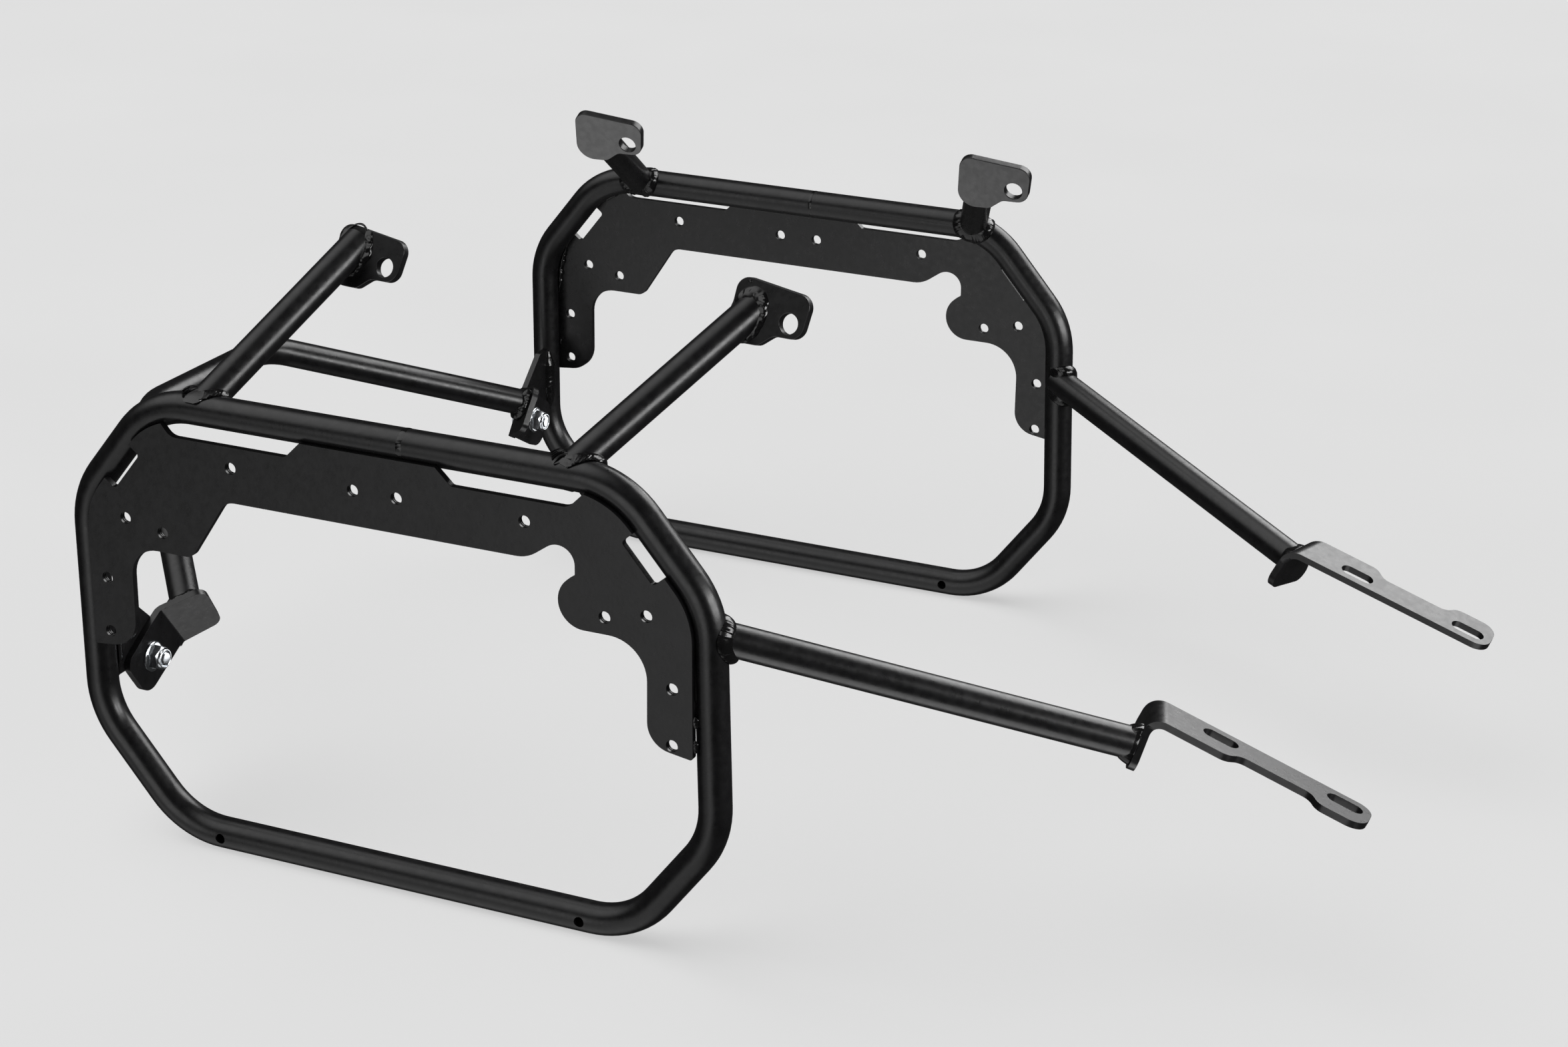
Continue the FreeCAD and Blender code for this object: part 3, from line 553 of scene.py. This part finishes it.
def on_front_lug(hole, x, y):
    """A point on the front lug's outboard face, x forward and y up from its hole."""
    up = Vector((0, -math.sin(LUG_LEAN), math.cos(LUG_LEAN)))
    across = Vector((1, 0, 0))
    place = across * x + up * y
    turned = Matrix.Rotation(LUG_YAW, 3, "Z") @ place
    normal = Matrix.Rotation(LUG_YAW, 3, "Z") @ Vector((0, math.cos(LUG_LEAN), math.sin(LUG_LEAN)))
    return tuple(Vector(hole) + turned), tuple(normal)


RIGHT_FRONT_LUG_HOLE = (187.2, 166.5, 89.1)
spatter("right_front_lug_spatter", "right", *on_front_lug(RIGHT_FRONT_LUG_HOLE, -26.1, 18.5), 1.0)


# Threads and fasteners

def lathe_frame(side, x, y, z):
    """A point of the rear joint from its place outboard, up and forward of the bolt's axis."""
    return at(side, JOINT_FACE + z, BOLT_OUTBOARD + x, BOLT_HEIGHT + y)


TURN_STEPS = 72


def revolve(mesh, side, rings):
    """Joins rings of (radius by turn, height) into one skin; a radius may be a function of the turn."""
    rows = []
    for radius, height in rings:
        row = []
        for i in range(TURN_STEPS):
            turn = 2 * math.pi * i / TURN_STEPS
            r = radius(turn) if callable(radius) else radius
            h = height(turn) if callable(height) else height
            row.append(mesh.verts.new(lathe_frame(side, r * math.cos(turn), r * math.sin(turn), h)))
        rows.append(row)
    for here, there in zip(rows, rows[1:]):
        for i in range(TURN_STEPS):
            j = (i + 1) % TURN_STEPS
            mesh.faces.new((here[i], here[j], there[j], there[i]))
    return rows


def hex_radius(turn):
    """Distance from the axis to a hexagon with a corner at the top."""
    off = (turn + math.pi / 6) % (math.pi / 3) - math.pi / 6
    return HEX_FLATS / 2 / math.cos(off)


def chamfer_drop(turn):
    """How far a 30 degree chamfer lowers the hexagon's end at one turn."""
    return max(0.0, hex_radius(turn) - 0.97 * HEX_FLATS / 2) * math.tan(math.radians(30))


def close_bore(mesh, rows):
    """Joins the last ring back to the first, which makes the skin of a piece with a hole through it."""
    for i in range(TURN_STEPS):
        j = (i + 1) % TURN_STEPS
        mesh.faces.new((rows[0][i], rows[-1][i], rows[-1][j], rows[0][j]))


TURNED_SHARP_ABOVE = 28.0


def turned_piece(name, mesh, node):
    bmesh.ops.recalc_face_normals(mesh, faces=mesh.faces)
    obj = piece_from(name, mesh, ZINC, TURNED_SHARP_ABOVE)
    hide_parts(node)


def flange_nut(side):
    """Flange with a rolled edge, chamfered hexagon, and the locking collar crimped over its ring."""
    mesh = bmesh.new()
    rim = NUT_FLANGE_RADIUS
    rows = revolve(mesh, side, [
        (NUT_BORE_RADIUS, 0.0), (rim - 0.25, 0.0), (rim, 0.25), (rim, 0.85), (rim - 0.25, 1.10),
        (7.3, NUT_FLANGE_HEIGHT),
        (hex_radius, NUT_FLANGE_HEIGHT), (hex_radius, lambda turn: NUT_HEX_TOP - chamfer_drop(turn)),
        (6.15, 6.84), (5.95, 7.05), (5.95, 8.15), (5.80, 8.55), (5.45, 8.78), (5.05, 8.80),
        (4.75, 8.62), (4.70, 7.90), (NUT_BORE_RADIUS, 7.85)])
    close_bore(mesh, rows)
    turned_piece(side + "_nut_turned", mesh, side + "_flange_nut")


def gusset_bolt(side):
    """Chamfered head with a washer face, and the shank through the joint to past the nut."""
    seat = -(JOINT_STACK + WASHER_THICKNESS)
    top = seat - BOLT_HEAD_HEIGHT
    mesh = bmesh.new()
    rows = revolve(mesh, side, [
        (0.4, top), (5.6, top), (6.2, top + 0.08),
        (hex_radius, lambda turn: top + chamfer_drop(turn)), (hex_radius, seat - 0.35),
        (6.1, seat - 0.35), (5.9, seat), (SHANK_RADIUS, seat), (SHANK_RADIUS, 8.75),
        (3.45, 9.35), (3.2, 9.4), (0.4, 9.4)])
    mesh.faces.new(rows[0])
    mesh.faces.new(reversed(rows[-1]))
    turned_piece(side + "_bolt_turned", mesh, side + "_gusset_bolt")


def washer(side):
    """A punched washer, its outer edge rounded on the bolt's side."""
    low, high = -(JOINT_STACK + WASHER_THICKNESS), -JOINT_STACK
    rim = WASHER_RADIUS
    mesh = bmesh.new()
    rows = revolve(mesh, side, [
        (4.25, low + 0.1), (4.4, low), (rim - 0.25, low), (rim, low + 0.25), (rim, high - 0.15),
        (rim - 0.15, high), (4.4, high), (4.25, high - 0.1)])
    close_bore(mesh, rows)
    turned_piece(side + "_washer_turned", mesh, side + "_washer")


THREAD_PITCH = 1.25
THREAD_BORE = 3.4
THREAD_RISE = 0.35
THREAD_START = 1.2
THREAD_END = 3.5
THREAD_STEPS = 30
# How far a ridge's foot sits in the metal, and half its widths at the foot and at the crest
THREAD_SINK = 0.12
THREAD_FOOT = 0.42
THREAD_CREST = 0.08


def plate_threads(side):
    """The helical ridges of the tapped holes."""
    mesh = bmesh.new()
    count = int((THREAD_END - THREAD_START) / THREAD_PITCH * THREAD_STEPS)
    for forward, up in PLATE_HOLES + [(-forward, up) for forward, up in PLATE_HOLES]:
        rings = []
        for i in range(count + 1):
            turn = 2 * math.pi * i / THREAD_STEPS
            depth = HALF_SPACING + PLATE_OUTER - THREAD_START - THREAD_PITCH * i / THREAD_STEPS
            rise = THREAD_RISE * min(1.0, 0.1 + 6 * min(i, count - i) / count)
            ring = []
            root, crest = THREAD_BORE + THREAD_SINK, THREAD_BORE - rise
            for radius, slip in ((root, -THREAD_FOOT), (crest, -THREAD_CREST),
                                 (crest, THREAD_CREST), (root, THREAD_FOOT)):
                ring.append(mesh.verts.new(at(side, forward + radius * math.cos(turn), depth + slip,
                                              up + radius * math.sin(turn))))
            rings.append(ring)
        for here, there in zip(rings, rings[1:]):
            for k in range(4):
                j = (k + 1) % 4
                mesh.faces.new((here[k], here[j], there[j], there[k]))
        mesh.faces.new(rings[0])
        mesh.faces.new(reversed(rings[-1]))
    bmesh.ops.recalc_face_normals(mesh, faces=mesh.faces)
    piece_from(side + "_plate_threads", mesh, COAT, 40.0)


for side in SIDES:
    flange_nut(side)
    gusset_bolt(side)
    washer(side)
    plate_threads(side)

EDGE_RADIUS = 0.45
for name in ("mounting_plate", "rear_lug", "front_lug", "forward_bracket", "rear_gusset", "cross_end_plate"):
    for side in SIDES:
        edge_rounded(f"{side}_{name}", EDGE_RADIUS)
for name, node in nodes.items():
    node.data.materials.clear()
    node.data.materials.append(ZINC if name.endswith(("bolt", "nut", "washer")) else COAT)

# Floor, light and camera

FLOOR_HALF = 14.0


def pale_floor():
    mesh = bpy.data.meshes.new("floor")
    corners = [(x * FLOOR_HALF, y * FLOOR_HALF, 0.0) for x, y in ((-1, -1), (1, -1), (1, 1), (-1, 1))]
    mesh.from_pydata(corners, [], [(0, 1, 2, 3)])
    mesh.materials.append(floor_paper())
    obj = bpy.data.objects.new("floor", mesh)
    bpy.context.scene.collection.objects.link(obj)
    obj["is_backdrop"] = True
    obj.visible_glossy = False
    return obj


floor = pale_floor()


def toward(azimuth, elevation):
    """The direction at an azimuth from +Y towards -X and an elevation, in degrees."""
    a, e = math.radians(azimuth), math.radians(elevation)
    return Vector((-math.sin(a) * math.cos(e), math.cos(a) * math.cos(e), math.sin(e)))


class WorldNodes:
    """The studio's surroundings, built from soft patches of brightness by direction."""

    def __init__(self, name):
        self.world = bpy.data.worlds.new(name)
        self.world.use_nodes = True
        self.tree = self.world.node_tree
        self.direction = self.tree.nodes.new("ShaderNodeTexCoord").outputs["Generated"]

    def combine(self, operation, *values):
        node = self.tree.nodes.new("ShaderNodeMath")
        node.operation = operation
        for socket, value in zip(node.inputs, values):
            if isinstance(value, float):
                socket.default_value = value
            else:
                self.tree.links.new(value, socket)
        return node.outputs["Value"]

    def patch(self, azimuth, elevation, edge, core, strength):
        """Brightness around one direction, full within core degrees of it and gone beyond edge."""
        dot = self.tree.nodes.new("ShaderNodeVectorMath")
        dot.operation = "DOT_PRODUCT"
        dot.inputs[1].default_value = toward(azimuth, elevation)
        self.tree.links.new(self.direction, dot.inputs[0])
        glow = self.tree.nodes.new("ShaderNodeMapRange")
        glow.interpolation_type = "SMOOTHSTEP"
        limits = (math.cos(math.radians(edge)), math.cos(math.radians(core)), 0.0, strength)
        for socket, number in zip(("From Min", "From Max", "To Min", "To Max"), limits):
            glow.inputs[socket].default_value = number
        self.tree.links.new(dot.outputs["Value"], glow.inputs["Value"])
        return glow.outputs["Result"]


DARK = 0.03
# Azimuth, elevation, outer and inner angle in degrees, brightness
PATCHES = [(110, 55, 45, 12, 1.5), (150, -55, 42, 15, 0.7), (172, -3, 29, 12, 1.5)]


def studio_world():
    """A dark room with soft bright patches, which is what the coat and the zinc mirror."""
    w = WorldNodes("studio")
    brightness = DARK
    for patch in PATCHES:
        brightness = w.combine("ADD", w.patch(*patch), brightness)
    w.tree.links.new(brightness, w.tree.nodes["Background"].inputs["Strength"])
    w.tree.nodes["Background"].inputs["Color"].default_value = (1, 1, 1, 1)
    bpy.context.scene.world = w.world


studio_world()


def collection_of(name, objects):
    group = bpy.data.collections.new(name)
    for obj in objects:
        group.objects.link(obj)
    return group


def softbox(name, azimuth, elevation, distance, width, height, brightness, lit, shadow=True):
    """A rectangular softbox aimed at the object; it lights one collection and is not seen itself."""
    data = bpy.data.lights.new(name, "AREA")
    data.shape = "RECTANGLE"
    data.size = width
    data.size_y = height
    data.energy = brightness * math.pi * width * height
    data.use_shadow = shadow
    light = bpy.data.objects.new(name, data)
    direction = toward(azimuth, elevation)
    light.location = direction * distance
    light.rotation_mode = "QUATERNION"
    light.rotation_quaternion = (-direction).to_track_quat("-Z", "Y")
    light.visible_camera = False
    light.light_linking.receiver_collection = lit
    bpy.context.scene.collection.objects.link(light)


def pieces_ending(*ends):
    return [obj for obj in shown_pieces() if obj.name.endswith(ends)]


def nodes_ending(*ends):
    return [nodes[name] for name in sorted(nodes) if name.endswith(ends)]


lit_pieces = collection_of("lit_pieces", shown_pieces())
softbox("key_softbox", -25, 42, 2.2, 1.8, 1.5, 5.5, lit_pieces)
softbox("strip_softbox", -92, 17, 2.2, 1.8, 0.7, 9.5, lit_pieces)
# What the pale ground sends up into the downward faces of these pieces
lugs = collection_of("lit_lugs", pieces_ending("_lug_edged"))
forward_pieces = nodes_ending("forward_stay") + pieces_ending("bracket_edged", "end_plate_edged")
stays = collection_of("lit_stays", forward_pieces)
softbox("lug_bounce", 146, -50, 2.2, 1.6, 1.6, 2.0, lugs, shadow=False)
softbox("stay_bounce", -140, -58, 2.2, 1.8, 1.8, 1.9, stays, shadow=False)
upper_stays = collection_of("lit_upper_stays", nodes_ending("front_stay", "rear_stay"))
softbox("upper_stay_softbox", -25, 42, 2.2, 0.9, 0.8, 5.0, upper_stays)
beads = collection_of("lit_beads", pieces_ending("_weld", "_stitch", "_tack"))
softbox("bead_softbox", -165, 45, 2.2, 1.5, 0.9, 1.8, beads)
fasteners = collection_of("lit_fasteners", pieces_ending("_turned"))
softbox("fastener_softbox", -30, -10, 2.2, 1.2, 1.2, 2.0, fasteners)


def floor_wash(strength):
    """An even light on the floor alone, which takes most of the shadows off it."""
    wash = bpy.data.lights.new("floor_wash", "SUN")
    wash.energy = strength
    wash.use_shadow = False
    light = bpy.data.objects.new("floor_wash", wash)
    light.light_linking.receiver_collection = collection_of("floor_only", [floor])
    bpy.context.scene.collection.objects.link(light)


floor_wash(3.0)
bpy.context.scene.view_settings.view_transform = "Standard"

CAMERA_PLACE = Vector((819.34 + DATUM_FORWARD, -1606.22, 581.84 + DATUM_HEIGHT)) * MM
AZIMUTH, ELEVATION, ROLL = 23.726, 21.035, 0.911
FOCAL_LENGTH = 72.13


def place_camera():
    data = bpy.data.cameras.new("camera")
    data.lens = FOCAL_LENGTH
    data.sensor_width = 36.0
    data.clip_start = 0.05
    data.clip_end = 60.0
    camera = bpy.data.objects.new("camera", data)
    bpy.context.scene.collection.objects.link(camera)
    camera.matrix_world = (
        Matrix.Translation(CAMERA_PLACE)
        @ Matrix.Rotation(math.radians(AZIMUTH), 4, "Z")
        @ Matrix.Rotation(math.radians(90 - ELEVATION), 4, "X")
        @ Matrix.Rotation(math.radians(ROLL), 4, "Z"))
    bpy.context.scene.camera = camera


place_camera()
